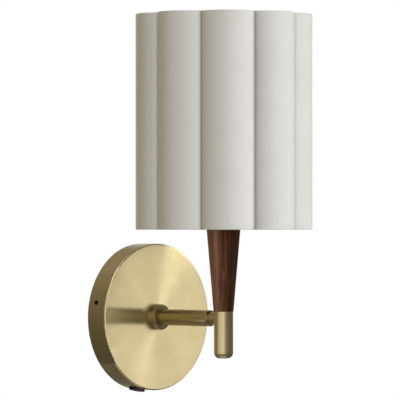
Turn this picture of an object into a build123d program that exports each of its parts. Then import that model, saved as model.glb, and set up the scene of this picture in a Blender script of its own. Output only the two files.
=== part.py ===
from build123d import *
import math
import os

# Wall lamp with a lobed linen shade. Millimetres. The wall is the plane Y = 0, the room lies towards -Y,
# +Z is up, and the origin is the centre of the backplate on the wall.

# Fits
seat_gap = 0.1
thread_gap = 0.05
loose_gap = 0.3
overcut = 1.0
nut_corner_share = 1.12

# Backplate: a spun disc and the rim brazed behind it, which hide the mounting plate
canopy_r = 60.0
canopy_depth = 19.0
canopy_face_t = 2.2
canopy_wall = 1.2
canopy_edge_r = 1.2
canopy_turn = 12.0

# Mounting plate: a steel disc with two bent ears that take the side screws
mount_disc_r = 46.0
mount_disc_t = 2.0
mount_hole_r = 16.0
wall_screw_r = 2.25
wall_screw_pitch = 70.0
ear_width = 14.0
ear_t = 2.5
ear_length = 12.0

# Side screws
side_screw_r = 2.0
side_screw_length = 9.0
side_screw_out = 8.5
side_screw_proud = 0.2
hex_socket_r = 1.15
hex_socket_depth = 2.0

# Cord bushing under the rim
bushing_bore_r = 3.25
bushing_r = 5.0
bushing_flange_r = 6.6
bushing_flange_t = 1.6
bushing_edge_r = 0.8
bushing_length = 8.0
bushing_out = 8.4
bushing_nut_flats = 13.0
bushing_nut_t = 3.0

# Terminal block inside the backplate
block_width = 24.0
block_height = 15.0
block_depth = 11.0
block_drop = 27.0
block_pitch = 10.0
block_entry_r = 1.15
block_entry_depth = 5.5
block_screw_r = 1.6
block_screw_length = 6.8
block_screw_inset = 3.6
block_edge_r = 0.8
fixing_screw_r = 1.3
fixing_head_r = 2.4
fixing_head_t = 1.4
slot_width = 0.6
slot_depth = 0.7

# Arm
arm_r = 6.6
arm_bore_r = 5.05
arm_tip_gap = 14.0
arm_edge = 0.6
collar_r = 10.5
collar_length = 6.5
collar_socket = 2.5
collar_edge_r = 1.6
nipple_r = 5.0
nipple_bore_r = 3.4
nipple_inside = 8.5
nipple_grip = 15.0
neck_grip = 12.0
arm_nut_flats = 16.0
arm_nut_t = 5.0
arm_washer_r = 9.5
arm_washer_t = 1.0

# Ferrule and stem
axis_out = 95.0
ferrule_r = 7.75
ferrule_top = 5.6
ferrule_foot = -32.0
ferrule_foot_r = 4.6
ferrule_bore_end = -14.0
neck_socket = 2.5
stem_length = 78.0
stem_foot_r = 8.05
stem_top_r = 14.6
stem_edge = 0.5
stem_bore_r = 4.3
pipe_r = 4.0
pipe_bore_r = 2.7
pipe_window_r = 3.0
pipe_proud = 2.0
stem_washer_r = 13.0
stem_washer_t = 1.6
stem_nut_flats = 13.0
stem_nut_t = 4.4

# Lampholder
cap_wall = 2.0
cap_floor = 3.0
cap_well = 10.0
cap_ledge = 1.8
core_t = 6.0
cap_rim = 2.0
post_r = 2.0
post_length = 6.5
post_out = 9.5
rivet_r = 1.2
shell_wall = 0.45
shell_height = 21.0
shell_gap = 0.65
sleeve_wall = 4.0
sleeve_skirt_t = 2.4
sleeve_skirt_drop = 10.0
shoulder_width = 3.8
shoulder_t = 3.0
sleeve_rise = 20.0
thread_depth = 0.7
thread_pitch = 2.5
thread_flat_share = 0.3
contact_r = 5.0
contact_t = 0.6
contact_tip_r = 3.0
contact_tip_t = 1.4
shade_ring_wall = 6.5
shade_ring_height = 8.0
shade_ring_gap = 0.25
grip_count = 24
grip_r = 1.2
grip_depth = 0.8

# Bulb
bulb_tip_r = 4.2
bulb_tip_t = 1.2
bulb_insulator_r = 9.0
bulb_insulator_t = 3.2
bulb_cap_r = 13.2
bulb_cap_wall = 1.1
bulb_cap_height = 22.0
bulb_cap_thread = 0.6
bulb_cap_pitch = 3.6
bulb_neck_grip = 6.0
bulb_neck_rise = 4.0
bulb_shoulder = 11.0
bulb_r = 16.0
bulb_length = 58.0
glass_wall = 0.9

# Shade
lobe_count = 9
shade_r = 71.8
lobe_r = 24.1
shade_phase = 27.2
shade_bottom = 71.6
shade_height = 173.0
skin_t = 0.6
liner_t = 1.0
hem_inset = 0.5
wire_r = 1.25
fitter_gap = 0.5
fitter_rim = 2.0
fitter_t = 1.2
spoke_count = 3
spoke_r = 1.2
spoke_flat = 12.0
spoke_foot = 8.0
spoke_bend_r = 7.0

# Leads
lead_r = 0.85
lead_offset = 1.1
lead_back = 3.0
lead_entry = 4.0
lead_bend_back = 4.0
lead_bend_arm = 6.0
lead_bend_top = 4.0

# Places that follow from the sizes above
shell_r = bulb_cap_r + loose_gap + bulb_cap_thread + shell_wall
sleeve_bore_r = shell_r + shell_gap
sleeve_r = sleeve_bore_r + sleeve_wall
shoulder_r = sleeve_r + shoulder_width
cap_bore_r = sleeve_bore_r
cap_r = cap_bore_r + cap_wall
shade_ring_r = sleeve_r + shade_ring_gap + shade_ring_wall
fitter_bore_r = sleeve_r + fitter_gap
fitter_r = shade_ring_r + fitter_rim
canopy_inner = canopy_depth - canopy_face_t
canopy_bore_r = canopy_r - canopy_wall
stem_top = ferrule_top + stem_length
cap_bottom = stem_top + stem_washer_t + stem_nut_t
cap_shelf = cap_bottom + cap_floor + cap_well
cap_top = cap_shelf + core_t + cap_rim
core_top = cap_shelf + core_t
shoulder_top = cap_top + shoulder_t
sleeve_top = shoulder_top + sleeve_rise
pipe_top = cap_bottom + cap_floor + pipe_proud
lead_top = pipe_top + lead_bend_top
contact_top = core_top + contact_t + contact_tip_t
bulb_insulator_z = contact_top + bulb_tip_t
bulb_cap_z = bulb_insulator_z + bulb_insulator_t
bulb_glass_z = bulb_cap_z + bulb_cap_height
arm_start = canopy_depth + collar_length - collar_socket
arm_end = axis_out - arm_tip_gap
neck_end = axis_out - ferrule_r + neck_socket
lobe_pitch = 360 / lobe_count
lobe_centre_r = shade_r - lobe_r
half_chord = lobe_centre_r * math.sin(math.radians(lobe_pitch / 2))
crease_r = lobe_centre_r * math.cos(math.radians(lobe_pitch / 2)) + math.sqrt(lobe_r**2 - half_chord**2)
liner_inset = skin_t + seat_gap
wire_inset = liner_inset + liner_t + seat_gap + wire_r
wire_bottom = shade_bottom + hem_inset + wire_r + seat_gap
wire_top = shade_bottom + shade_height - hem_inset - wire_r - seat_gap
fitter_z = shoulder_top
ring_z = fitter_z + fitter_t

on_axis = Pos(0, -axis_out, 0)
turned = Rot(0, canopy_turn, 0)


def rod_z(radius, z0, z1):
    """Upright round bar about the Z axis."""
    return Pos(0, 0, z0) * Cylinder(radius, z1 - z0, align=(Align.CENTER, Align.CENTER, Align.MIN))


def rod_y(radius, out0, out1):
    """Round bar along the arm's axis, from one distance off the wall to another."""
    return Rot(90, 0, 0) * rod_z(radius, out0, out1)


def rod_x(radius, x0, x1):
    """Round bar along X."""
    return Rot(0, 90, 0) * rod_z(radius, x0, x1)


def spun(*points):
    """Solid turned about Z from a closed outline of radius and height."""
    outline = Polyline(*[(r, 0, z) for r, z in points], close=True)
    return revolve(make_face(outline), Axis.Z)


def hex_bar(flats, length):
    """Upright hexagonal bar on the plane Z = 0."""
    return extrude(RegularPolygon(flats / 2, 6, major_radius=False), length)


def nut(flats, length, hole_r):
    """Hexagonal nut on the plane Z = 0, with its outer corners turned off."""
    corner = flats / 2 * nut_corner_share
    blank = hex_bar(flats, length) & rod_z(corner, 0, length)
    return blank - rod_z(hole_r, -overcut, length + overcut)


def ridged(radius, depth, pitch, z0, z1):
    """Points up the outside of a round thread, drawn as even rings."""
    count = int((z1 - z0) / pitch)
    step = (z1 - z0) / count
    points = []
    for i in range(count):
        low = z0 + i * step
        crest = low + step / 2
        flat = step * thread_flat_share / 2
        points += [(radius - depth, low), (radius, crest - flat), (radius, crest + flat)]
    return points + [(radius - depth, z1)]


def polar(radius, angle):
    """Point on the plane Z = 0."""
    return Vector(radius * math.cos(math.radians(angle)), radius * math.sin(math.radians(angle)), 0)


def lobed_outline(inset):
    """Closed line of outward arcs, moved inwards: each crease becomes an arc about its own point."""
    edges = []
    for k in range(lobe_count):
        angle = shade_phase + k * lobe_pitch
        centre = polar(lobe_centre_r, angle)
        after = polar(lobe_centre_r, angle + lobe_pitch)
        crease_before = polar(crease_r, angle - lobe_pitch / 2)
        crease = polar(crease_r, angle + lobe_pitch / 2)
        share = inset / lobe_r
        start = crease_before + (centre - crease_before) * share
        end = crease + (centre - crease) * share
        edges.append(ThreePointArc(start, polar(shade_r - inset, angle), end))
        if inset:
            following = crease + (after - crease) * share
            edges.append(ThreePointArc(end, polar(crease_r - inset, angle + lobe_pitch / 2), following))
    return Wire(edges)


def lobed_wall(inset, thickness, z0, z1):
    """Upright wall that follows the lobes."""
    ring = make_face(lobed_outline(inset)) - make_face(lobed_outline(inset + thickness))
    return on_axis * Pos(0, 0, z0) * extrude(ring, z1 - z0)


def swept_wire(path, radius):
    """Round wire along a path."""
    section = Plane(origin=path @ 0, z_dir=path % 0) * Circle(radius)
    return sweep(section, path=path)


def save(name, *solids):
    """Write one sub-part, made of one or more separate solids."""
    shape = solids[0] if len(solids) == 1 else Compound(children=[Part(s.wrapped) for s in solids])
    export_step(shape, f"parts/{name}.step")


# Wall side


def mounting_plate():
    """Disc on the wall, with a strap at each side that ends in an ear bent towards the room."""
    ear_face = math.sqrt((canopy_bore_r - loose_gap) ** 2 - (ear_width / 2) ** 2)
    plate = rod_y(mount_disc_r, 0, mount_disc_t)
    strap = Pos(0, -mount_disc_t / 2, 0) * Box(2 * ear_face, mount_disc_t, ear_width)
    plate = plate + strap
    for side in (-1, 1):
        ear = Pos(side * (ear_face - ear_t / 2), -ear_length / 2, 0) * Box(ear_t, ear_length, ear_width)
        plate = plate + ear
    plate = plate - rod_y(mount_hole_r, -overcut, mount_disc_t + overcut)
    for side in (-1, 1):
        hole = rod_y(wall_screw_r, -overcut, mount_disc_t + overcut)
        plate = plate - Pos(side * wall_screw_pitch / 2, 0, 0) * hole
    tapped = Pos(0, -side_screw_out, 0) * rod_x(side_screw_r + thread_gap, -canopy_r, canopy_r)
    plate = plate - tapped
    fixing = rod_y(fixing_screw_r + thread_gap, -overcut, mount_disc_t + overcut)
    return turned * (plate - Pos(0, 0, -block_drop) * fixing)


def canopy():
    """Front disc of the backplate, with a rounded front edge and a hole for the arm."""
    disc = rod_y(canopy_r, canopy_inner, canopy_depth)
    disc = fillet(disc.edges().sort_by(Axis.Y)[0], min(canopy_edge_r, canopy_face_t - seat_gap))
    return turned * (disc - rod_y(nipple_r + seat_gap, 0, canopy_depth + overcut))


def canopy_rim():
    """Rim of the backplate, from the wall to the disc, holed for the side screws and the bushing."""
    outside = canopy_r + overcut
    rim = rod_y(canopy_r, 0, canopy_inner) - rod_y(canopy_bore_r, -overcut, canopy_depth)
    rim = rim - Pos(0, -side_screw_out, 0) * rod_x(side_screw_r + seat_gap, -outside, outside)
    return turned * (rim - Pos(0, -bushing_out, 0) * rod_z(bushing_r + seat_gap, -outside, 0))


def canopy_screws():
    """Two headless screws with hexagonal sockets, just proud of the rim."""
    outer_end = canopy_r + side_screw_proud
    screw = rod_x(side_screw_r, outer_end - side_screw_length, outer_end)
    socket = Rot(0, 90, 0) * hex_bar(2 * hex_socket_r, hex_socket_depth + overcut)
    screw = screw - Pos(outer_end - hex_socket_depth, 0, 0) * socket
    placed = Pos(0, -side_screw_out, 0) * screw
    return turned * placed, turned * Rot(0, 180, 0) * placed


def cord_bushing():
    """Bored bush with a round flange under the rim."""
    flange = rod_z(bushing_flange_r, canopy_r, canopy_r + bushing_flange_t)
    flange = fillet(flange.edges().sort_by(Axis.Z)[-1], bushing_edge_r)
    body = rod_z(bushing_r, canopy_r + bushing_flange_t - bushing_length, canopy_r + bushing_flange_t / 2)
    bush = flange + body - rod_z(bushing_bore_r, 0, 2 * canopy_r)
    return turned * Pos(0, -bushing_out, 0) * Rot(180, 0, 0) * bush


def bushing_nut():
    """Hexagonal nut that draws the bushing against the rim."""
    reach = bushing_nut_flats / math.sqrt(3)
    seat = math.sqrt(canopy_bore_r**2 - reach**2) - seat_gap
    ring = nut(bushing_nut_flats, bushing_nut_t, bushing_r + thread_gap)
    ring = Rot(0, 0, 30) * ring
    return turned * Pos(0, -bushing_out, -seat) * ring


def terminal_block():
    """Two-way block on the mounting plate, with wire entries above and below and screws in front."""
    middle = mount_disc_t + block_depth / 2
    block = Pos(0, -middle, -block_drop) * Box(block_width, block_depth, block_height)
    block = fillet(block.edges().group_by(Axis.Y)[0], block_edge_r)
    block = block - Pos(0, 0, -block_drop) * rod_y(fixing_screw_r + seat_gap, 0, canopy_depth)
    block = block - Pos(0, 0, -block_drop) * rod_y(fixing_head_r + seat_gap, middle, canopy_depth)
    top = -block_drop + block_height / 2
    bottom = -block_drop - block_height / 2
    for side in (-1, 1):
        place = Pos(side * block_pitch / 2, -mount_disc_t - lead_back, 0)
        block = block - place * rod_z(block_entry_r, top - block_entry_depth, top + overcut)
        block = block - place * rod_z(block_entry_r, bottom - overcut, bottom + block_entry_depth)
    for x, z in block_screw_places():
        block = block - Pos(x, 0, z) * rod_y(block_screw_r + seat_gap, screw_floor(), canopy_depth)
    return turned * block


def block_screw_places():
    """Centres of the four clamping screws on the block's front."""
    places = []
    for side in (-1, 1):
        for up in (-1, 1):
            z = -block_drop + up * (block_height / 2 - block_screw_inset)
            places.append((side * block_pitch / 2, z))
    return places


def screw_floor():
    """How far off the wall the clamping screws end."""
    return mount_disc_t + block_depth - block_screw_length


def slotted(radius, out0, out1):
    """Round screw head along the arm's axis, with a slot in its front."""
    head = rod_y(radius, out0, out1)
    return head - Pos(0, -out1, 0) * Box(3 * radius, 2 * slot_depth, slot_width)


def terminal_screws():
    """Clamping screws, flush with the block's front."""
    screw = slotted(block_screw_r, screw_floor(), mount_disc_t + block_depth)
    return [turned * Pos(x, 0, z) * screw for x, z in block_screw_places()]


def terminal_fixing_screw():
    """Screw through the block into the mounting plate."""
    under_head = mount_disc_t + block_depth / 2
    screw = slotted(fixing_head_r, under_head, under_head + fixing_head_t)
    screw = screw + rod_y(fixing_screw_r, seat_gap, under_head + seat_gap)
    return turned * Pos(0, 0, -block_drop) * screw


# Arm


def arm_nipple():
    """Threaded tube from inside the backplate into the arm."""
    ends = canopy_inner - nipple_inside, arm_start + nipple_grip
    return rod_y(nipple_r, *ends) - rod_y(nipple_bore_r, ends[0] - overcut, ends[1] + overcut)


def arm_nut():
    """Nut behind the backplate."""
    ring = nut(arm_nut_flats, arm_nut_t, nipple_r + thread_gap)
    return Pos(0, -(canopy_inner - arm_washer_t), 0) * Rot(-90, 0, 0) * ring


def arm_washer():
    """Washer between the nut and the backplate."""
    ends = canopy_inner - arm_washer_t, canopy_inner
    return rod_y(arm_washer_r, *ends) - rod_y(nipple_r + seat_gap, ends[0] - overcut, ends[1] + overcut)


def collar():
    """Ring against the backplate, with a rounded front edge and a socket for the arm."""
    front = canopy_depth + collar_length
    ring = rod_y(collar_r, canopy_depth, front)
    ring = fillet(ring.edges().sort_by(Axis.Y)[0], collar_edge_r)
    ring = ring - rod_y(arm_r + seat_gap, arm_start, front + overcut)
    return ring - rod_y(nipple_r + seat_gap, canopy_depth - overcut, front)


def arm_tube():
    """Round arm from the collar's socket to its tip."""
    tube = rod_y(arm_r, arm_start, arm_end)
    tube = chamfer(tube.edges().sort_by(Axis.Y)[0], arm_edge)
    return tube - rod_y(arm_bore_r, arm_start - overcut, arm_end + overcut)


def arm_neck():
    """Slimmer threaded neck between the arm's tip and the ferrule."""
    ends = arm_end - neck_grip, neck_end - seat_gap
    return rod_y(nipple_r, *ends) - rod_y(nipple_bore_r, ends[0] - overcut, ends[1] + overcut)


# Ferrule and stem


def ferrule():
    """Turned foot with a rounded bottom, bored from the top for the pipe and from the side for the neck."""
    body = rod_z(ferrule_r, ferrule_foot, ferrule_top)
    body = fillet(body.edges().sort_by(Axis.Z)[0], min(ferrule_foot_r, ferrule_r - seat_gap))
    body = body - rod_z(pipe_r + thread_gap, ferrule_bore_end, ferrule_top + overcut)
    body = on_axis * body
    body = body - rod_y(nipple_r + thread_gap, arm_end, neck_end)
    return body - rod_y(nipple_bore_r, arm_end, axis_out)


def lamp_pipe():
    """Threaded tube up the stem, with a side window for the leads."""
    pipe = rod_z(pipe_r, ferrule_bore_end + seat_gap, pipe_top)
    pipe = on_axis * (pipe - rod_z(pipe_bore_r, ferrule_bore_end - overcut, pipe_top + overcut))
    return pipe - rod_y(pipe_window_r, arm_end, axis_out)


def stem():
    """Tapered wooden stem, widest at the top."""
    cone = Cone(stem_foot_r, stem_top_r, stem_length, align=(Align.CENTER, Align.CENTER, Align.MIN))
    cone = Pos(0, 0, ferrule_top) * cone
    cone = chamfer(cone.edges().sort_by(Axis.Z)[-1], stem_edge)
    cone = chamfer(cone.edges().sort_by(Axis.Z)[0], stem_edge / 2)
    return on_axis * (cone - rod_z(stem_bore_r, ferrule_top - overcut, stem_top + overcut))


def stem_washer():
    """Plate on the stem's top."""
    hole = rod_z(pipe_r + seat_gap, stem_top, pipe_top)
    return on_axis * (rod_z(stem_washer_r, stem_top, stem_top + stem_washer_t) - hole)


def stem_nut():
    """Nut that clamps the stem on the ferrule."""
    ring = nut(stem_nut_flats, stem_nut_t, pipe_r + thread_gap)
    return on_axis * Pos(0, 0, stem_top + stem_washer_t) * ring


def lead(side):
    """Insulated lead from the terminal block along the arm and up the stem to the lampholder."""
    block_top = -block_drop + block_height / 2
    start = turned * Pos(side * block_pitch / 2, -mount_disc_t - lead_back, block_top - lead_entry)
    rise = turned * Pos(side * block_pitch / 2, -mount_disc_t - lead_back, block_top + lead_bend_back / 2)
    x = side * lead_offset
    points = [
        start.position,
        rise.position,
        (x, -mount_disc_t - lead_back, 0),
        (x, -axis_out, 0),
        (x, -axis_out, lead_top),
        (side * (post_out - post_r - seat_gap), -axis_out, lead_top),
    ]
    radii = [lead_bend_back / 2, lead_bend_back, lead_bend_arm, lead_bend_top]
    return swept_wire(FilletPolyline(*points, radius=radii), lead_r)


# Lampholder


def holder_cap():
    """Base cup on the stem's nut, with a ledge for the core."""
    cup = spun(
        (pipe_r + thread_gap, cap_bottom),
        (cap_r, cap_bottom),
        (cap_r, cap_top),
        (cap_bore_r, cap_top),
        (cap_bore_r, cap_shelf),
        (cap_bore_r - cap_ledge, cap_shelf),
        (cap_bore_r - cap_ledge, cap_bottom + cap_floor),
        (pipe_r + thread_gap, cap_bottom + cap_floor),
    )
    return on_axis * cup


def holder_core():
    """Insulating disc on the ledge, holed for the rivets."""
    disc = rod_z(cap_bore_r - loose_gap, cap_shelf, core_top)
    for x in (-post_out, 0, post_out):
        disc = disc - Pos(x, 0, 0) * rod_z(rivet_r + seat_gap, cap_shelf - overcut, core_top + overcut)
    return on_axis * disc


def holder_terminals():
    """Two posts under the core, riveted through it."""
    posts = []
    for x in (-post_out, post_out):
        post = rod_z(post_r, cap_shelf - post_length, cap_shelf) + rod_z(rivet_r, cap_shelf, core_top)
        posts.append(on_axis * Pos(x, 0, 0) * post)
    return posts


def holder_contact():
    """Sprung centre contact on the core, with its rivet."""
    contact = rod_z(rivet_r, cap_shelf, core_top) + rod_z(contact_r, core_top, core_top + contact_t)
    return on_axis * (contact + rod_z(contact_tip_r, core_top + contact_t, contact_top))


def holder_screw_shell():
    """Thin ringed tube on the core."""
    top = core_top + shell_height
    outside = ridged(shell_r, bulb_cap_thread, bulb_cap_pitch, core_top, top)
    inside = [(r - shell_wall, z) for r, z in reversed(outside)]
    return on_axis * spun(*outside, *inside)


def holder_sleeve():
    """Outer sleeve: a skirt round the cup, a shoulder for the shade and a thread for its ring."""
    skirt_in = cap_r + seat_gap
    skirt_out = skirt_in + sleeve_skirt_t
    outside = ridged(sleeve_r, thread_depth, thread_pitch, shoulder_top, sleeve_top)
    sleeve = spun(
        (skirt_in, cap_top - sleeve_skirt_drop),
        (skirt_out, cap_top - sleeve_skirt_drop),
        (skirt_out, cap_top),
        (shoulder_r, cap_top),
        (shoulder_r, shoulder_top),
        *outside,
        (sleeve_bore_r, sleeve_top),
        (sleeve_bore_r, cap_top),
        (skirt_in, cap_top),
    )
    return on_axis * sleeve


def shade_ring():
    """Ring with a grooved grip that clamps the fitter on the shoulder."""
    top = ring_z + shade_ring_height
    ring = rod_z(shade_ring_r, ring_z, top)
    ring = fillet(ring.edges().sort_by(Axis.Z)[-1], grip_r)
    ring = ring - rod_z(sleeve_r + shade_ring_gap, ring_z - overcut, top + overcut)
    grooves = [
        place * rod_z(grip_r, ring_z + grip_r, top + overcut)
        for place in PolarLocations(shade_ring_r + grip_r - grip_depth, grip_count)
    ]
    return on_axis * (ring - grooves)


# Bulb


def bulb_contact():
    """Tip that rests on the centre contact."""
    return on_axis * rod_z(bulb_tip_r, contact_top, bulb_insulator_z)


def bulb_insulator():
    """Cone between the tip and the screw cap."""
    return on_axis * spun(
        (0, bulb_insulator_z),
        (bulb_tip_r, bulb_insulator_z),
        (bulb_insulator_r, bulb_cap_z),
        (0, bulb_cap_z),
    )


def bulb_cap():
    """Ringed screw cap with a floor on the insulator."""
    inner = bulb_cap_r - bulb_cap_thread - bulb_cap_wall
    outside = ridged(bulb_cap_r, bulb_cap_thread, bulb_cap_pitch, bulb_cap_z + bulb_cap_wall, bulb_glass_z)
    return on_axis * spun(
        (0, bulb_cap_z),
        (bulb_insulator_r, bulb_cap_z),
        *outside,
        (inner, bulb_glass_z),
        (inner, bulb_cap_z + 2 * bulb_cap_wall),
        (0, bulb_cap_z + 2 * bulb_cap_wall),
    )


def bulb_outline(wall):
    """Half outline of the glass: a neck, a flared shoulder, a straight side and a round end."""
    neck = bulb_cap_r - bulb_cap_thread - bulb_cap_wall - seat_gap - wall
    side = bulb_r - wall
    foot = bulb_glass_z - bulb_neck_grip
    rise = bulb_glass_z + bulb_neck_rise
    swell = rise + bulb_shoulder
    top = swell + bulb_length
    middle = (neck + side) / 2, (rise + swell) / 2
    lines = [
        Line((0, 0, foot), (neck, 0, foot)),
        Line((neck, 0, foot), (neck, 0, rise)),
        Spline(
            (neck, 0, rise),
            (middle[0], 0, middle[1]),
            (side, 0, swell),
            tangents=[(0, 0, 1), (0, 0, 1)],
        ),
        Line((side, 0, swell), (side, 0, top - bulb_r)),
        ThreePointArc(
            (side, 0, top - bulb_r),
            (side * math.sqrt(0.5), 0, top - bulb_r + side * math.sqrt(0.5)),
            (0, 0, top - bulb_r + side),
        ),
        Line((0, 0, top - bulb_r + side), (0, 0, foot)),
    ]
    return make_face(Wire(lines))


def bulb_globe():
    """Opal glass tube, open inside and closed at its foot by the cap."""
    return on_axis * (revolve(bulb_outline(0), Axis.Z) - revolve(bulb_outline(glass_wall), Axis.Z))


# Shade


def fitter_ring():
    """Flat ring that sits on the lampholder's shoulder."""
    bore = rod_z(fitter_bore_r, fitter_z - overcut, ring_z + overcut)
    return on_axis * (rod_z(fitter_r, fitter_z, ring_z) - bore)


def fitter_spokes():
    """Wires that run out from the flat ring and down to the creases of the bottom ring."""
    level = fitter_z + fitter_t / 2
    foot_r = crease_r - wire_inset - wire_r - seat_gap
    path = FilletPolyline(
        (fitter_r + seat_gap, 0, level),
        (fitter_r + spoke_flat, 0, level),
        (foot_r - spoke_foot, 0, wire_bottom),
        (foot_r, 0, wire_bottom),
        radius=[spoke_bend_r, spoke_bend_r],
    )
    spoke = swept_wire(path, spoke_r)
    step = lobe_count // spoke_count
    spokes = []
    for k in range(spoke_count):
        angle = shade_phase + (k * step + 0.5) * lobe_pitch
        spokes.append(on_axis * Rot(0, 0, angle) * spoke)
    return spokes


def lobed_wire(z):
    """Wire ring inside the liner's edge."""
    return on_axis * Pos(0, 0, z) * swept_wire(lobed_outline(wire_inset), wire_r)


def shade_liner():
    """Stiff liner inside the linen."""
    top = shade_bottom + shade_height
    return lobed_wall(liner_inset, liner_t, shade_bottom + hem_inset, top - hem_inset)


def shade_skin():
    """Linen cover."""
    return lobed_wall(0, skin_t, shade_bottom, shade_bottom + shade_height)


os.makedirs("parts", exist_ok=True)

save("mounting_plate", mounting_plate())
save("canopy", canopy())
save("canopy_rim", canopy_rim())
save("canopy_screws", *canopy_screws())
save("cord_bushing", cord_bushing())
save("bushing_nut", bushing_nut())
save("terminal_block", terminal_block())
save("terminal_screws", *terminal_screws())
save("terminal_fixing_screw", terminal_fixing_screw())
save("arm_nipple", arm_nipple())
save("arm_nut", arm_nut())
save("arm_washer", arm_washer())
save("collar", collar())
save("arm_tube", arm_tube())
save("arm_neck", arm_neck())
save("ferrule", ferrule())
save("lamp_pipe", lamp_pipe())
save("stem", stem())
save("stem_washer", stem_washer())
save("stem_nut", stem_nut())
save("live_lead", lead(1))
save("neutral_lead", lead(-1))
save("holder_cap", holder_cap())
save("holder_core", holder_core())
save("holder_terminals", *holder_terminals())
save("holder_contact", holder_contact())
save("holder_screw_shell", holder_screw_shell())
save("holder_sleeve", holder_sleeve())
save("shade_ring", shade_ring())
save("bulb_contact", bulb_contact())
save("bulb_insulator", bulb_insulator())
save("bulb_cap", bulb_cap())
save("bulb_globe", bulb_globe())
save("fitter_ring", fitter_ring())
save("fitter_spokes", *fitter_spokes())
save("shade_bottom_ring", lobed_wire(wire_bottom))
save("shade_top_ring", lobed_wire(wire_top))
save("shade_liner", shade_liner())
save("shade_skin", shade_skin())
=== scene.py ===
import math

import bpy
import numpy as np
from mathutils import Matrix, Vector


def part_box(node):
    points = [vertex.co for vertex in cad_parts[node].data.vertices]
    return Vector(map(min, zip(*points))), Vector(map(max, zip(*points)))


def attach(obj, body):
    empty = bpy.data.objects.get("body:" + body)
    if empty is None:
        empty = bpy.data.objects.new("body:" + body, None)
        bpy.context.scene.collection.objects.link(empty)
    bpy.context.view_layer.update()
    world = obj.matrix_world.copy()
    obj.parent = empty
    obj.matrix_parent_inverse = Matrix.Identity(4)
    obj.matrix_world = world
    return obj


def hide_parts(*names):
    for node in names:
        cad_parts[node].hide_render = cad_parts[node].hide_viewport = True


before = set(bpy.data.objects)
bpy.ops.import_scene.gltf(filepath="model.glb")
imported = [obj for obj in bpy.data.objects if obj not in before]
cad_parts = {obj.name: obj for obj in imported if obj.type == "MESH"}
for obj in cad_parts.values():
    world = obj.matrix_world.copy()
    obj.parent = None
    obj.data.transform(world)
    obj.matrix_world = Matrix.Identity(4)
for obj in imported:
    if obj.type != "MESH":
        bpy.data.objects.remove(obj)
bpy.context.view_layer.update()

# The lobed outline of the shade, in metres and radians, as in the part's source. A lobe is an arc
# that reaches the same turn to either side of its middle, and two lobes meet in a crease.
STEM_AXIS = (0.0, -0.095)
ON_STEM = (*STEM_AXIS, 0.0)
LOBES = 9
SHADE_R = 0.0718
LOBE_R = 0.0241
LOBE_PHASE = math.radians(27.2)
LOBE_STEP = 2 * math.pi / LOBES
LOBE_CENTRE_R = SHADE_R - LOBE_R
HALF_CHORD = LOBE_CENTRE_R * math.sin(LOBE_STEP / 2)
CREASE_R = LOBE_CENTRE_R * math.cos(LOBE_STEP / 2) + math.sqrt(LOBE_R**2 - HALF_CHORD**2)
CREASE_ASIDE = CREASE_R * math.sin(LOBE_STEP / 2)
CREASE_OUT = CREASE_R * math.cos(LOBE_STEP / 2) - LOBE_CENTRE_R
LOBE_REACH = math.atan2(CREASE_ASIDE, CREASE_OUT)
HALF_LOBE = LOBE_R * LOBE_REACH
LOBE_LENGTH = 2 * HALF_LOBE

# The linen on that outline, in metres and radians. An inset is measured inwards from the outline.
LINEN_T = 0.0005
LINEN_FACE = 0.0001
LINER_INSIDE = 0.0017
WIRE_INSET = 0.00305
WIRE_DROP = 0.00185
HEM_CORNER = 0.0005
HEM_ROLL = 0.00165
HEM_TURN = math.radians(150)
HEM_FLAP = 0.003
FLAP_DROP = 0.0011
LAP_WIDTH = 0.009
LAP_T = 0.0004
LAP_EDGE_TURN = 0.002
DIP_REACH = 0.0045
DIP_DEPTH = 0.00045
DIP_FULL_INSET = 0.0009

# Points of the linen's grid on each arc, in each crease, on half of the straight face, over the
# hem's corner, round the wire and down the flap
ARC_POINTS = 41
CREASE_POINTS = 5
FACE_POINTS = 14
CORNER_POINTS = 5
ROLL_POINTS = 13
FLAP_POINTS = 3


# Node helpers


def feed(tree, socket, value):
    """A constant or a link into one socket."""
    if isinstance(value, bpy.types.NodeSocket):
        tree.links.new(value, socket)
    else:
        socket.default_value = value


def add_node(tree, kind, *inputs, **settings):
    """One node, with its settings, and its inputs in order: a number, a vector or an output."""
    node = tree.nodes.new("ShaderNode" + kind)
    for key, value in settings.items():
        setattr(node, key, value)
    for socket, value in zip(node.inputs, inputs):
        feed(tree, socket, value)
    return node


def fill_ramp(node, stops):
    """Colours along a ramp node: each stop is a place and a colour."""
    bar = node.color_ramp.elements
    while len(bar) < len(stops):
        bar.new(0.5)
    for element, (place, colour) in zip(bar, stops):
        element.position = place
        element.color = (*colour, 1)


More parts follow.
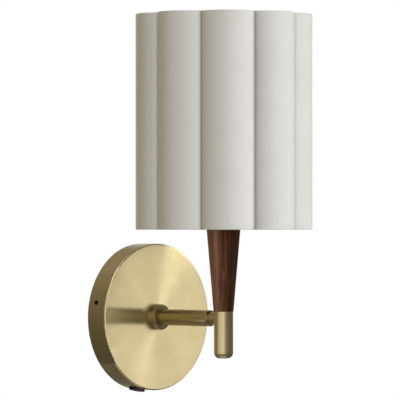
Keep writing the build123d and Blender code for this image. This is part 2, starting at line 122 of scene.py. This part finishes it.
class Finish:
    """A material under construction: its Principled shader and short calls that add nodes to it."""

    def __init__(self, name, colour, rough, metal=0.0, **sockets):
        self.material = bpy.data.materials.new(name)
        self.material.use_nodes = True
        self.tree = self.material.node_tree
        self.shader = self.tree.nodes["Principled BSDF"]
        self.sockets = {key.name.lower().replace(" ", "_"): key for key in self.shader.inputs}
        self.set(base_color=(*colour, 1), roughness=rough, metallic=metal, **sockets)
        self.place = self.add("TexCoord").outputs["Object"]

    def set(self, **values):
        """Constants or links into the shader's own sockets. Gives the material."""
        for name, value in values.items():
            feed(self.tree, self.sockets[name], value)
        return self.material

    def add(self, kind, *inputs, **settings):
        return add_node(self.tree, kind, *inputs, **settings)

    def named(self, kind, **inputs):
        """One node, with its inputs by name."""
        node = self.add(kind)
        for name, value in inputs.items():
            feed(self.tree, node.inputs[name], value)
        return node

    def math(self, operation, *inputs):
        return self.add("Math", *inputs, operation=operation).outputs[0]

    def vector(self, operation, *inputs):
        node = self.add("VectorMath", *inputs, operation=operation)
        return node.outputs["Value" if operation in ("LENGTH", "DOT_PRODUCT") else "Vector"]

    def stretched(self, coordinates, scale):
        """Coordinates times a scale on each axis."""
        return self.vector("MULTIPLY", coordinates, scale)

    def noise(self, coordinates, scale=1.0, detail=3.0, rough=0.5):
        node = self.named(
            "TexNoise", Vector=coordinates, Scale=scale, Detail=detail, Roughness=rough
        )
        return node.outputs["Fac"]

    def ramp(self, value, *stops):
        """Colours along a value."""
        node = self.add("ValToRGB", value)
        fill_ramp(node, stops)
        return node.outputs["Color"]

    def spread(self, value, low, high, new_low, new_high, **settings):
        """A value's range stretched to another range, and held there."""
        node = self.add("MapRange", value, low, high, new_low, new_high, **settings)
        return node.outputs["Result"]

    def between(self, share, a, b):
        """A value between two others. Mix takes plain values at its inputs 2 and 3."""
        node = self.add("Mix", data_type="FLOAT")
        for place, value in ((0, share), (2, a), (3, b)):
            feed(self.tree, node.inputs[place], value)
        return node.outputs[0]

    def mixed(self, share, a, b):
        """A colour between two others. Mix takes colours at its inputs 6 and 7."""
        node = self.add("Mix", data_type="RGBA")
        for place, value in ((0, share), (6, a), (7, b)):
            feed(self.tree, node.inputs[place], (*value, 1) if isinstance(value, tuple) else value)
        return node.outputs[2]

    def bump(self, height, distance, strength):
        node = self.named("Bump", Strength=strength, Distance=distance, Height=height)
        return node.outputs["Normal"]


# Finishes

NOISE_SPAN = (0.3, 0.7)
BRASS = (0.60, 0.505, 0.285)
BRASS_DARKER = (0.93, 0.91, 0.86)
BRASS_LIGHTER = (1.04, 1.04, 1.06)
HAIR_LINE_DEPTH = 0.0000002
HAIR_LINE_TURN = (0.6, 0.5, 0.62)
THREAD_PITCH = 0.00062
THREAD_ROUNDNESS = 0.7
# Painted shade in the linen's creases: how far from a crease it reaches, in metres, and its
# strength
CREASE_SHADE_REACH = 0.0030
CREASE_SHADE_SHARE = 0.62
BULB_TONE_FROM, BULB_TONE_TO = 0.145, 0.21


def turned_brass_finish(name, axis, centre, rough, lines_per_m, anisotropy):
    """Satin brass turned about an axis: hair lines run round it, so the tangent is the axis crossed
    with the place. The tone drifts a little, and the lines change the roughness and the height."""
    f = Finish(name, BRASS, rough, 1.0, anisotropic=anisotropy, anisotropic_rotation=0.25)
    place = f.vector("SUBTRACT", f.place, centre)
    sideways = f.vector("CROSS_PRODUCT", axis, place)
    round_it = f.vector("NORMALIZE", sideways)
    along = f.math("MULTIPLY", f.vector("DOT_PRODUCT", axis, place), lines_per_m)
    out = f.math("MULTIPLY", f.vector("LENGTH", sideways), lines_per_m)
    turn = f.vector("DOT_PRODUCT", round_it, HAIR_LINE_TURN)
    hair = f.noise(f.add("CombineXYZ", out, along, turn).outputs[0], detail=4.0, rough=0.65)
    drift = f.noise(f.place, scale=38.0, rough=0.55)
    stain = f.noise(f.place, scale=160.0, detail=4.0, rough=0.6)
    dark = tuple(c * k for c, k in zip(BRASS, BRASS_DARKER))
    light = tuple(c * k for c, k in zip(BRASS, BRASS_LIGHTER))
    stained = tuple(c * 0.8 for c in dark)
    colour = f.mixed(f.spread(drift, *NOISE_SPAN, 0, 1), dark, light)
    colour = f.mixed(f.spread(hair, 0.35, 0.65, 0, 0.25), colour, dark)
    colour = f.mixed(f.spread(stain, 0.62, 0.8, 0, 0.12), colour, stained)
    lined = f.spread(hair, *NOISE_SPAN, rough - 0.03, rough + 0.03)
    gloss = f.math("ADD", lined, f.spread(drift, *NOISE_SPAN, -0.015, 0.015))
    normal = f.bump(hair, HAIR_LINE_DEPTH, 0.2)
    return f.set(base_color=colour, roughness=gloss, tangent=round_it, normal=normal)


def walnut_finish():
    """Oiled walnut with upright grain: slow bands of dark and light wood that wander a little, fine
    fibres and short dark pores."""
    f = Finish("walnut", (0.11, 0.045, 0.022), 0.5, specular_ior_level=0.14)
    place = f.vector("SUBTRACT", f.place, ON_STEM)
    wander = f.noise(f.stretched(place, (60, 60, 14)))
    sway = f.add("CombineXYZ", wander, wander, 0.5).outputs[0]
    sway = f.stretched(f.vector("SUBTRACT", sway, (0.5, 0.5, 0.5)), (0.010, 0.010, 0))
    bent = f.vector("ADD", place, sway)
    bands = f.noise(f.stretched(bent, (330, 330, 7)), detail=2.5, rough=0.55)
    fibres = f.noise(f.stretched(bent, (2600, 2600, 60)), detail=4.0, rough=0.65)
    pores = f.noise(f.stretched(bent, (3400, 3400, 170)), detail=2.0)
    wood = f.ramp(
        bands,
        (0.30, (0.055, 0.0200, 0.0095)),
        (0.46, (0.125, 0.0460, 0.0210)),
        (0.58, (0.185, 0.0700, 0.0320)),
        (0.74, (0.245, 0.1020, 0.0480)),
    )
    wood = f.mixed(f.spread(fibres, 0.35, 0.7, 0.0, 0.45), wood, (0.070, 0.0260, 0.0125))
    wood = f.mixed(f.spread(pores, 0.62, 0.72, 0.0, 0.6), wood, (0.022, 0.0095, 0.0060))
    height = f.math("SUBTRACT", fibres, f.spread(pores, 0.6, 0.72, 0, 0.8))
    gloss = f.spread(fibres, *NOISE_SPAN, 0.36, 0.52)
    return f.set(base_color=wood, roughness=gloss, normal=f.bump(height, 0.00006, 0.5))


def linen_finish():
    """Off-white linen, drawn on the cloth's own length and height in metres: warp and weft threads
    over and under each other, slubs that run along single threads, a slow drift of tone, and
    painted shade: a darker tone towards each crease, where shade falls."""
    f = Finish(
        "linen",
        (0.80, 0.785, 0.74),
        0.85,
        sheen_weight=0.12,
        sheen_roughness=0.45,
        specular_ior_level=0.25,
    )
    cloth = f.add("UVMap", uv_map="cloth").outputs[0]
    length, height, _ = f.add("SeparateXYZ", cloth).outputs
    across = f.math("SINE", f.math("MULTIPLY", length, math.pi / THREAD_PITCH))
    up = f.math("SINE", f.math("MULTIPLY", height, math.pi / THREAD_PITCH))
    warp = f.math("POWER", f.math("ABSOLUTE", across), THREAD_ROUNDNESS)
    weft = f.math("POWER", f.math("ABSOLUTE", up), THREAD_ROUNDNESS)
    over = f.spread(f.math("MULTIPLY", across, up), -0.25, 0.25, 0, 1)
    weave = f.between(over, warp, weft)
    slub_up = f.noise(f.stretched(cloth, (1500, 70, 1)), rough=0.6)
    slub_across = f.noise(f.stretched(cloth, (70, 1500, 1)), rough=0.6)
    slub_up = f.spread(slub_up, 0.35, 0.7, 0, 0.5)
    slub_across = f.spread(slub_across, 0.35, 0.7, 0, 0.5)
    slubs = f.math("ADD", slub_up, slub_across)
    drift = f.spread(f.noise(cloth, scale=26.0), *NOISE_SPAN, 0, 1)
    colour = f.mixed(drift, (0.800, 0.793, 0.765), (0.825, 0.820, 0.797))
    colour = f.mixed(f.spread(slubs, 0.15, 0.75, 0, 0.5), colour, (0.735, 0.712, 0.665))
    colour = f.mixed(f.spread(weave, 0.0, 0.6, 0.35, 0.0), colour, (0.66, 0.638, 0.59))
    # Painted shade: the linen darkens towards each crease, where shade falls, to the colour mixed
    # in below
    crease_shade = f.spread(
        f.math("PINGPONG", length, HALF_LOBE),
        0.0,
        CREASE_SHADE_REACH,
        CREASE_SHADE_SHARE,
        0.0,
        interpolation_type="SMOOTHSTEP",
    )
    colour = f.mixed(crease_shade, colour, (0.50, 0.455, 0.375))
    relief = f.math("ADD", weave, slubs)
    return f.set(base_color=colour, normal=f.bump(relief, 0.00012, 0.45))


def moulded_finish(name, colour, rough, grain, depth, mottle, **sockets):
    """Moulded or painted surface: a fine even grain of so many to the metre and so deep, and a
    slight drift of tone and of gloss."""
    f = Finish(name, colour, rough, **sockets)
    skin = f.noise(f.place, scale=grain, rough=0.6)
    drift = f.noise(f.place, scale=45.0)
    low = tuple(c * (1 - mottle) for c in colour)
    high = tuple(min(1.0, c * (1 + mottle)) for c in colour)
    tone = f.mixed(f.spread(drift, *NOISE_SPAN, 0, 1), low, high)
    gloss = f.spread(skin, *NOISE_SPAN, rough - 0.06, rough + 0.06)
    return f.set(base_color=tone, roughness=gloss, normal=f.bump(skin, depth, 0.4))


def plated_finish(name, colour, rough):
    """Plated or bare metal: fine streaks drawn upwards, cloudy plating and a few dull spots."""
    f = Finish(name, colour, rough, 1.0)
    streaks = f.noise(f.stretched(f.place, (1500, 1500, 60)), detail=4.0, rough=0.6)
    cloud = f.noise(f.place, scale=120.0, detail=4.0, rough=0.6)
    dull = tuple(c * 0.82 for c in colour)
    tone = f.mixed(f.spread(cloud, 0.35, 0.7, 0, 1), colour, dull)
    streaked = f.spread(streaks, *NOISE_SPAN, rough - 0.05, rough + 0.07)
    gloss = f.math("ADD", streaked, f.spread(cloud, 0.4, 0.7, 0, 0.06))
    return f.set(base_color=tone, roughness=gloss, normal=f.bump(streaks, 0.00002, 0.35))


def opal_finish():
    """Opal glass: milky and glossy, darker towards the cap and lighter towards its round end."""
    f = Finish(
        "opal_glass",
        (0.90, 0.895, 0.87),
        0.14,
        coat_weight=0.5,
        coat_roughness=0.05,
        subsurface_weight=0.25,
        subsurface_scale=0.004,
    )
    height = f.add("SeparateXYZ", f.place).outputs[2]
    # Darker towards the cap, lighter towards the round end
    toward_round_end = f.spread(height, BULB_TONE_FROM, BULB_TONE_TO, 0, 1)
    milk = f.noise(f.place, scale=60.0)
    tone = f.mixed(toward_round_end, (0.85, 0.84, 0.80), (0.92, 0.915, 0.89))
    tone = f.mixed(f.spread(milk, 0.35, 0.7, 0, 0.4), tone, (0.86, 0.855, 0.83))
    return f.set(base_color=tone, roughness=f.spread(milk, *NOISE_SPAN, 0.11, 0.18))


WALL_AXIS = (0.0, 1.0, 0.0)
UPRIGHT = (0.0, 0.0, 1.0)
ON_WALL = (0.0, 0.0, 0.0)

# Turned brass: axis, centre, roughness, hair lines to the metre and anisotropy
spun_brass = turned_brass_finish("spun_brass", WALL_AXIS, ON_WALL, 0.205, 1500, 1.0)
arm_brass = turned_brass_finish("arm_brass", WALL_AXIS, ON_WALL, 0.30, 4200, 0.35)
ferrule_brass = turned_brass_finish("ferrule_brass", UPRIGHT, ON_STEM, 0.42, 4200, 0.0)

# Plated: colour and roughness
zinc = plated_finish("zinc_steel", (0.62, 0.63, 0.65), 0.38)
contact_brass = plated_finish("contact_brass", (0.78, 0.60, 0.30), 0.32)
nickel = plated_finish("nickel", (0.66, 0.64, 0.60), 0.26)

# Moulded: colour, roughness, grain to the metre, its depth in metres and the drift of tone
liner_white = moulded_finish("liner_white", (0.86, 0.85, 0.82), 0.42, 900, 0.00002, 0.025)
wire_white = moulded_finish("wire_white", (0.80, 0.79, 0.76), 0.38, 1600, 0.00003, 0.05)
screw_black = moulded_finish("screw_black", (0.012, 0.012, 0.013), 0.42, 2600, 0.00002, 0.3)
bush_black = moulded_finish("bush_black", (0.014, 0.014, 0.015), 0.45, 1500, 0.00004, 0.25)
block_white = moulded_finish("block_white", (0.78, 0.77, 0.73), 0.45, 1500, 0.00004, 0.04)
lead_black = moulded_finish("lead_black", (0.020, 0.020, 0.021), 0.40, 1800, 0.00003, 0.2)
lead_white = moulded_finish("lead_white", (0.76, 0.75, 0.72), 0.42, 1800, 0.00003, 0.05)
phenolic = moulded_finish(
    "black_phenolic", (0.018, 0.015, 0.013), 0.33, 1300, 0.00003, 0.25, coat_weight=0.15
)
porcelain = moulded_finish(
    "porcelain", (0.82, 0.81, 0.77), 0.22, 700, 0.00003, 0.03, coat_weight=0.4
)
glass_black = moulded_finish("glass_black", (0.010, 0.010, 0.012), 0.12, 900, 0.00002, 0.3)

walnut = walnut_finish()
linen = linen_finish()
opal = opal_finish()

FINISH_OF_NODE = {
    "mounting_plate": zinc,
    "canopy": spun_brass,
    "canopy_rim": spun_brass,
    "canopy_screws": screw_black,
    "cord_bushing": bush_black,
    "bushing_nut": bush_black,
    "terminal_block": block_white,
    "terminal_screws": contact_brass,
    "terminal_fixing_screw": zinc,
    "arm_nipple": zinc,
    "arm_nut": zinc,
    "arm_washer": zinc,
    "collar": arm_brass,
    "arm_tube": arm_brass,
    "arm_neck": arm_brass,
    "ferrule": ferrule_brass,
    "lamp_pipe": zinc,
    "stem": walnut,
    "stem_washer": zinc,
    "stem_nut": zinc,
    "live_lead": lead_black,
    "neutral_lead": lead_white,
    "holder_cap": phenolic,
    "holder_core": porcelain,
    "holder_terminals": contact_brass,
    "holder_contact": contact_brass,
    "holder_screw_shell": contact_brass,
    "holder_sleeve": phenolic,
    "shade_ring": phenolic,
    "fitter_ring": wire_white,
    "fitter_spokes": wire_white,
    "shade_bottom_ring": wire_white,
    "shade_top_ring": wire_white,
    "shade_liner": liner_white,
    "shade_skin": linen,
    "bulb_globe": opal,
    "bulb_cap": nickel,
    "bulb_insulator": glass_black,
    "bulb_contact": nickel,
}
for node, finish in FINISH_OF_NODE.items():
    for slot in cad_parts[node].material_slots:
        slot.material = finish


# Linen cover


def facing(angle):
    """Level unit vectors at an array of angles: the cosine and the sine of each."""
    return np.stack([np.cos(angle), np.sin(angle)], -1)


def lobed_line():
    """The shade's outline as points, outward directions and lengths along it. Each lobe is an arc
    about its own centre. At a crease the point stays, and the direction swings from one lobe's end
    to the next lobe's start. The line starts at the crease nearest the wall, and the points stand
    closer towards the creases and at the lap's edge."""
    first = math.floor((math.pi / 2 - LOBE_PHASE) / LOBE_STEP) + 1
    lobe = LOBE_PHASE + LOBE_STEP * (first + np.arange(LOBES))[:, None]
    share = np.linspace(-1, 1, ARC_POINTS)
    turns = LOBE_REACH * (share + np.sin(share * math.pi / 2)) / 2
    lap_edge = LAP_WIDTH / LOBE_R - LOBE_REACH + np.array([-LAP_EDGE_TURN, LAP_EDGE_TURN])
    turns = np.sort(np.concatenate([turns, lap_edge]))[None, :]
    swing = np.linspace(0, 1, CREASE_POINTS + 2)[1:-1][None, :]
    arc_way = lobe + turns
    crease_way = lobe + LOBE_REACH + swing * (LOBE_STEP - 2 * LOBE_REACH)
    arc = LOBE_CENTRE_R * facing(lobe) + LOBE_R * facing(arc_way)
    crease = CREASE_R * facing(lobe + LOBE_STEP / 2 + 0 * crease_way)
    arc_length = LOBE_R * (turns + LOBE_REACH) + 0 * lobe
    crease_length = LOBE_LENGTH + 0 * crease_way
    points = np.concatenate([arc, crease], axis=1).reshape(-1, 2)
    way = np.concatenate([arc_way, crease_way], axis=1).ravel()
    length = np.concatenate([arc_length, crease_length], axis=1)
    length = (length + LOBE_LENGTH * np.arange(LOBES)[:, None]).ravel()
    return points, facing(way), length


def hem_path(bottom, top):
    """Middle line of the cloth in section, as inset and height: a flap on the liner, a roll round
    the bottom wire, the straight face, a roll round the top wire and a flap again. A roll is an
    ellipse about its wire, and the lower half mirrors the upper one."""
    face = LINEN_FACE + LINEN_T / 2
    crown = top - LINEN_T / 2
    middle = (bottom + top) / 2
    wire_z = top - WIRE_DROP
    face_z = np.linspace(middle, crown - HEM_CORNER, FACE_POINTS, endpoint=False)
    bend = np.linspace(0, math.pi / 2, CORNER_POINTS)
    corner_inset = face + HEM_CORNER - HEM_CORNER * np.cos(bend)
    corner_z = crown - HEM_CORNER + HEM_CORNER * np.sin(bend)
    turn = np.linspace(0, HEM_TURN, ROLL_POINTS)
    roll_inset = WIRE_INSET + HEM_ROLL * np.sin(turn)
    roll_z = wire_z + (crown - wire_z) * np.cos(turn)
    flap_z = roll_z[-1] - FLAP_DROP - HEM_FLAP * np.linspace(0, 1, FLAP_POINTS)
    flap_inset = LINER_INSIDE + LINEN_T + 0 * flap_z
    inset = np.concatenate([face + 0 * face_z, corner_inset, roll_inset, flap_inset])
    upper = np.stack([inset, np.concatenate([face_z, corner_z, roll_z, flap_z])], -1)
    lower = upper[:0:-1] * (1, -1) + (0, 2 * middle)
    return np.concatenate([lower, upper])


def ribbon(path, thickness):
    """Closed section round a middle line: the line moved half the thickness along its normal, then
    back along the other side. Also gives how far along the cloth each point lies, and 1 for a point
    on the outer side or 0 for one on the inner side."""
    step = np.gradient(path, axis=0)
    step /= np.linalg.norm(step, axis=1)[:, None]
    normal = np.stack([-step[:, 1], step[:, 0]], -1)
    along = np.concatenate([[0], np.cumsum(np.linalg.norm(np.diff(path, axis=0), axis=1))])
    outer = path + normal * thickness / 2
    inner = path - normal * thickness / 2
    section = np.concatenate([outer, inner[::-1]])
    return section, np.concatenate([along, along[::-1]]), np.repeat([1.0, 0.0], len(path))


def ring_mesh(name, points, uv):
    """Mesh of a grid of points that closes on itself in both directions, with a UV pair on each
    face corner. The UV grid has one row and one column more, for the faces that close it."""
    rows, columns = points.shape[:2]
    r, c = np.meshgrid(np.arange(rows), np.arange(columns), indexing="ij")
    r1, c1 = (r + 1) % rows, (c + 1) % columns
    corners = ((r, c), (r, c1), (r1, c1), (r1, c))
    faces = np.stack([row * columns + column for row, column in corners], -1).reshape(-1, 4)
    pairs = np.stack([uv[r, c], uv[r, c + 1], uv[r + 1, c + 1], uv[r + 1, c]], -2)
    mesh = bpy.data.meshes.new(name)
    mesh.vertices.add(rows * columns)
    mesh.vertices.foreach_set("co", points.astype(np.float32).ravel())
    mesh.loops.add(faces.size)
    mesh.loops.foreach_set("vertex_index", faces.astype(np.int32).ravel())
    mesh.polygons.add(len(faces))
    mesh.polygons.foreach_set("loop_start", np.arange(0, faces.size, 4, dtype=np.int32))
    mesh.polygons.foreach_set("use_smooth", np.ones(len(faces), bool))
    layer = mesh.uv_layers.new(name="cloth")
    layer.data.foreach_set("uv", pairs.astype(np.float32).ravel())
    mesh.update(calc_edges=True)
    mesh.validate()
    return mesh


def linen_cover():
    """Linen over the liner: every point is the outline's point less its inset times the outward
    direction, at the section's height. Past the back crease the cloth laps over itself, so its
    outer side stands out a little there. Next to each crease the face dips in, by a depth that
    fades as the square of the distance, and that fades to nothing at the wires."""
    low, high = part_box("shade_skin")
    outline, outward, length = lobed_line()
    section, along, outside = ribbon(hem_path(low.z, high.z), LINEN_T)
    lap = ((length > 0) & (length < LAP_WIDTH)) * LAP_T
    from_crease = HALF_LOBE - np.abs(length % LOBE_LENGTH - HALF_LOBE)
    dip = DIP_DEPTH * (1 - np.clip(from_crease / DIP_REACH, 0, 1)) ** 2
    on_face = np.clip((WIRE_INSET - section[:, :1]) / (WIRE_INSET - DIP_FULL_INSET), 0, 1)
    inset = section[:, :1] - lap[None, :] * outside[:, None] + dip[None, :] * on_face
    xy = outline[None] - inset[..., None] * outward[None] + np.array(STEM_AXIS)
    z = np.broadcast_to(section[:, 1:], inset.shape)
    points = np.concatenate([xy, z[..., None]], -1)
    across = np.append(length, LOBES * LOBE_LENGTH)
    up = np.append(along, along[0])
    uv = np.stack(np.meshgrid(across, up), -1)
    cover = bpy.data.objects.new("linen_cover", ring_mesh("linen_cover", points, uv))
    bpy.context.scene.collection.objects.link(cover)
    cover.data.materials.append(linen)
    return cover, across[-1] + LAP_WIDTH, along.max()


cover, cloth_length, cloth_height = linen_cover()
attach(cover, "shade")
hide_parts("shade_skin")


# Camera, light and floor, in metres, with the lens and its sensor in millimetres

VIEW_TURN = math.radians(-45.8)
VIEW_DISTANCE = 3.0
VIEW_HEIGHT = 0.0780
AIM_ASIDE = -0.0189
AIM_HEIGHT = 0.0954
LENS = 335.7
SENSOR_WIDTH = 36
TO_CAMERA = Vector((math.sin(VIEW_TURN), -math.cos(VIEW_TURN), 0))
TO_RIGHT = Vector((math.cos(VIEW_TURN), math.sin(VIEW_TURN), 0))
STEM = Vector(ON_STEM)
BOX_DISTANCE = 1.5
BOX_AIM = STEM + Vector((0, 0, 0.08))
TALL_BOX = (0.65, 1.8)
ROOM_STOPS = (
    (0.0, (0.19, 0.165, 0.118)),
    (0.35, (0.25, 0.225, 0.185)),
    (0.65, (0.27, 0.26, 0.245)),
    (1.0, (0.17, 0.17, 0.165)),
)
ROOM_LOW, ROOM_HIGH = 0.35, 1.65
BACKDROP_FROM, BACKDROP_FULL = 0.89, 0.97
FIRST_IMAGE_BELOW = 1.5
FLOOR_HALF = 0.45
FLOOR_LEVEL = -1.0
FLOOR_FADE_FROM = 0.15


def set_camera():
    """Long lens at the left front, almost level."""
    data = bpy.data.cameras.new("camera")
    data.lens = LENS
    data.sensor_width = SENSOR_WIDTH
    data.clip_start, data.clip_end = 0.1, 60
    camera = bpy.data.objects.new("camera", data)
    bpy.context.scene.collection.objects.link(camera)
    camera.location = STEM + TO_CAMERA * VIEW_DISTANCE + Vector((0, 0, VIEW_HEIGHT))
    aim = STEM + TO_RIGHT * AIM_ASIDE + Vector((0, 0, AIM_HEIGHT))
    camera.rotation_mode = "QUATERNION"
    camera.rotation_quaternion = (aim - camera.location).to_track_quat("-Z", "Y")
    bpy.context.scene.camera = camera


def soft_box(name, turn, height, size, watts, only=(), without=(), bare=False, tint=(1, 1, 1)):
    """Rectangular soft box that faces the object. Turn is measured round the stem from the camera,
    to the right, in degrees, and size is its width and height. A flag may keep its light off some
    pieces, or let it fall on a few only. A bare one gives direct light without shadows."""
    data = bpy.data.lights.new(name, "AREA")
    data.shape = "RECTANGLE"
    data.size, data.size_y = size
    data.energy = watts
    data.color = tint
    if bare:
        data.use_shadow = False
        data.cycles.max_bounces = 0
    lamp = bpy.data.objects.new(name, data)
    bpy.context.scene.collection.objects.link(lamp)
    side = math.radians(turn)
    level = TO_CAMERA * math.cos(side) + TO_RIGHT * math.sin(side)
    lamp.location = STEM + level * BOX_DISTANCE + Vector((0, 0, height))
    lamp.rotation_mode = "QUATERNION"
    lamp.rotation_quaternion = (BOX_AIM - lamp.location).to_track_quat("-Z", "Y")
    if only or without:
        flagged = bpy.data.collections.new(name + "_flag")
        for piece in (*only, *without):
            flagged.objects.link(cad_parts.get(piece, piece))
        for entry in flagged.collection_objects:
            entry.light_linking.link_state = "INCLUDE" if only else "EXCLUDE"
        lamp.light_linking.receiver_collection = flagged


def studio_world():
    """Pale room: darker and warmer to the left of the camera and downwards, lighter to the right
    and upwards. The camera sees plain white, also through glass. So does metal whose first mirror
    image is the backdrop behind the object."""
    world = bpy.data.worlds.new("studio")
    bpy.context.scene.world = world
    world.use_nodes = True
    tree = world.node_tree
    tree.nodes.clear()

    def node(kind, *inputs, **settings):
        return add_node(tree, kind, *inputs, **settings)

    def combined(operation, a, b):
        return node("Math", a, b, operation=operation).outputs[0]

    def share_of(way, direction):
        return node("VectorMath", way, direction, operation="DOT_PRODUCT").outputs["Value"]

    way = node("TexCoord").outputs["Generated"]
    sideways = share_of(way, TO_RIGHT)
    away = share_of(way, -TO_CAMERA)
    upward = node("SeparateXYZ", way).outputs[2]
    room = node("ValToRGB", node("MapRange", sideways, -1, 1, 0, 1).outputs[0])
    fill_ramp(room, ROOM_STOPS)
    lift = node("MapRange", upward, -1, 1, ROOM_LOW, ROOM_HIGH).outputs[0]
    room_light = node("Background", room.outputs[0], lift)
    plain_white = node("Background", (1, 1, 1, 1), 1.0)
    backdrop = node(
        "MapRange", away, BACKDROP_FROM, BACKDROP_FULL, 0, 1, interpolation_type="SMOOTHSTEP"
    )
    path = node("LightPath")
    first = combined("LESS_THAN", path.outputs["Glossy Depth"], FIRST_IMAGE_BELOW)
    mirrored = combined("MULTIPLY", path.outputs["Is Glossy Ray"], backdrop.outputs[0])
    mirrored = combined("MULTIPLY", mirrored, first)
    seen = combined("MAXIMUM", path.outputs["Is Camera Ray"], path.outputs["Is Transmission Ray"])
    seen = combined("MAXIMUM", seen, mirrored)
    chosen = node("MixShader", seen, room_light.outputs[0], plain_white.outputs[0])
    node("OutputWorld", chosen.outputs[0])


def pale_floor():
    """Flat square floor under the lamp. Near the lamp it takes the shadow, and further out it fades
    to the plain white backdrop."""
    corners = np.array([[-1, -1], [1, -1], [1, 1], [-1, 1]]) * FLOOR_HALF
    mesh = bpy.data.meshes.new("floor")
    points = np.column_stack([corners, np.full(4, FLOOR_LEVEL)])
    mesh.from_pydata(points.tolist(), [], [[0, 1, 2, 3]])
    floor = bpy.data.objects.new("floor", mesh)
    bpy.context.scene.collection.objects.link(floor)
    f = Finish("pale_floor", (0.86, 0.86, 0.85), 0.8)
    grain = f.spread(f.noise(f.place, scale=30.0, detail=4.0, rough=0.6), *NOISE_SPAN, 0, 1)
    f.set(base_color=f.mixed(grain, (0.85, 0.85, 0.84), (0.87, 0.87, 0.86)))
    from_middle = f.vector("LENGTH", f.stretched(f.place, (1, 1, 0)))
    far = f.spread(from_middle, FLOOR_FADE_FROM, FLOOR_HALF, 0.0, 1.0)
    path = f.add("LightPath")
    mirrored = f.math("MAXIMUM", path.outputs["Is Glossy Ray"], path.outputs["Is Transmission Ray"])
    seen = f.math("MAXIMUM", path.outputs["Is Camera Ray"], mirrored)
    white = f.add("Emission", (1, 1, 1, 1), 1.0)
    both = f.add("MixShader", f.math("MULTIPLY", far, seen), f.shader.outputs[0], white.outputs[0])
    f.tree.links.new(both.outputs[0], f.tree.nodes["Material Output"].inputs[0])
    mesh.materials.append(f.material)


set_camera()

SHADE_FRAME = ("shade_liner", "shade_top_ring", "shade_bottom_ring", "fitter_ring", "fitter_spokes")
SHADE_PIECES = (cover, *SHADE_FRAME)
WALL_PIECES = ("mounting_plate", "terminal_block")
PLATE_PIECES = ("canopy", "canopy_rim")
KEY_FLAG = ("stem", "ferrule", "collar", cover, *PLATE_PIECES)

# Soft boxes: turn, height, size and watts
soft_box("key_box", 51, 0.15, TALL_BOX, 17.0, without=KEY_FLAG)
soft_box("shade_key", 31, 0.15, TALL_BOX, 11.3, only=(cover,), bare=True, tint=(0.965, 1, 1.05))
soft_box("shade_side", 82, 0.15, TALL_BOX, 10.8, only=(cover,), bare=True, tint=(1, 0.98, 0.94))
soft_box("left_fill", -60, 0.15, TALL_BOX, 3.3, only=SHADE_PIECES, tint=(1, 0.89, 0.64))
soft_box("rear_fill", -152, 0.15, TALL_BOX, 10.0, only=SHADE_PIECES)
soft_box("back_fill", 180, 0.15, (1.3, 1.8), 7.0, only=(*SHADE_PIECES, *WALL_PIECES))
soft_box("plate_box", 91.6, 0.10, (1.3, 1.5), 6.0, only=PLATE_PIECES)
soft_box("plate_edge", 54, 0.15, TALL_BOX, 9.0, only=PLATE_PIECES)
soft_box("plate_glow", 108, 0.43, (0.5, 0.4), 2.4, only=PLATE_PIECES)
soft_box("plate_top", 33, 1.8, (1.5, 1.2), 25.0, only=PLATE_PIECES, bare=True)
soft_box("stem_box", -60, -0.20, (1.0, 1.5), 18.5, only=("stem",))
soft_box("ferrule_box", -26, 0.10, (2.6, 1.5), 11.0, only=("ferrule", "arm_neck"))
soft_box("arm_box", -96, -0.70, (1.0, 0.6), 0.8, only=("arm_tube", "collar"))
soft_box("front_fill", 0, 0.15, TALL_BOX, 1.5, without=("arm_tube", "collar", cover))
studio_world()
pale_floor()
bpy.context.scene.view_settings.view_transform = "Standard"
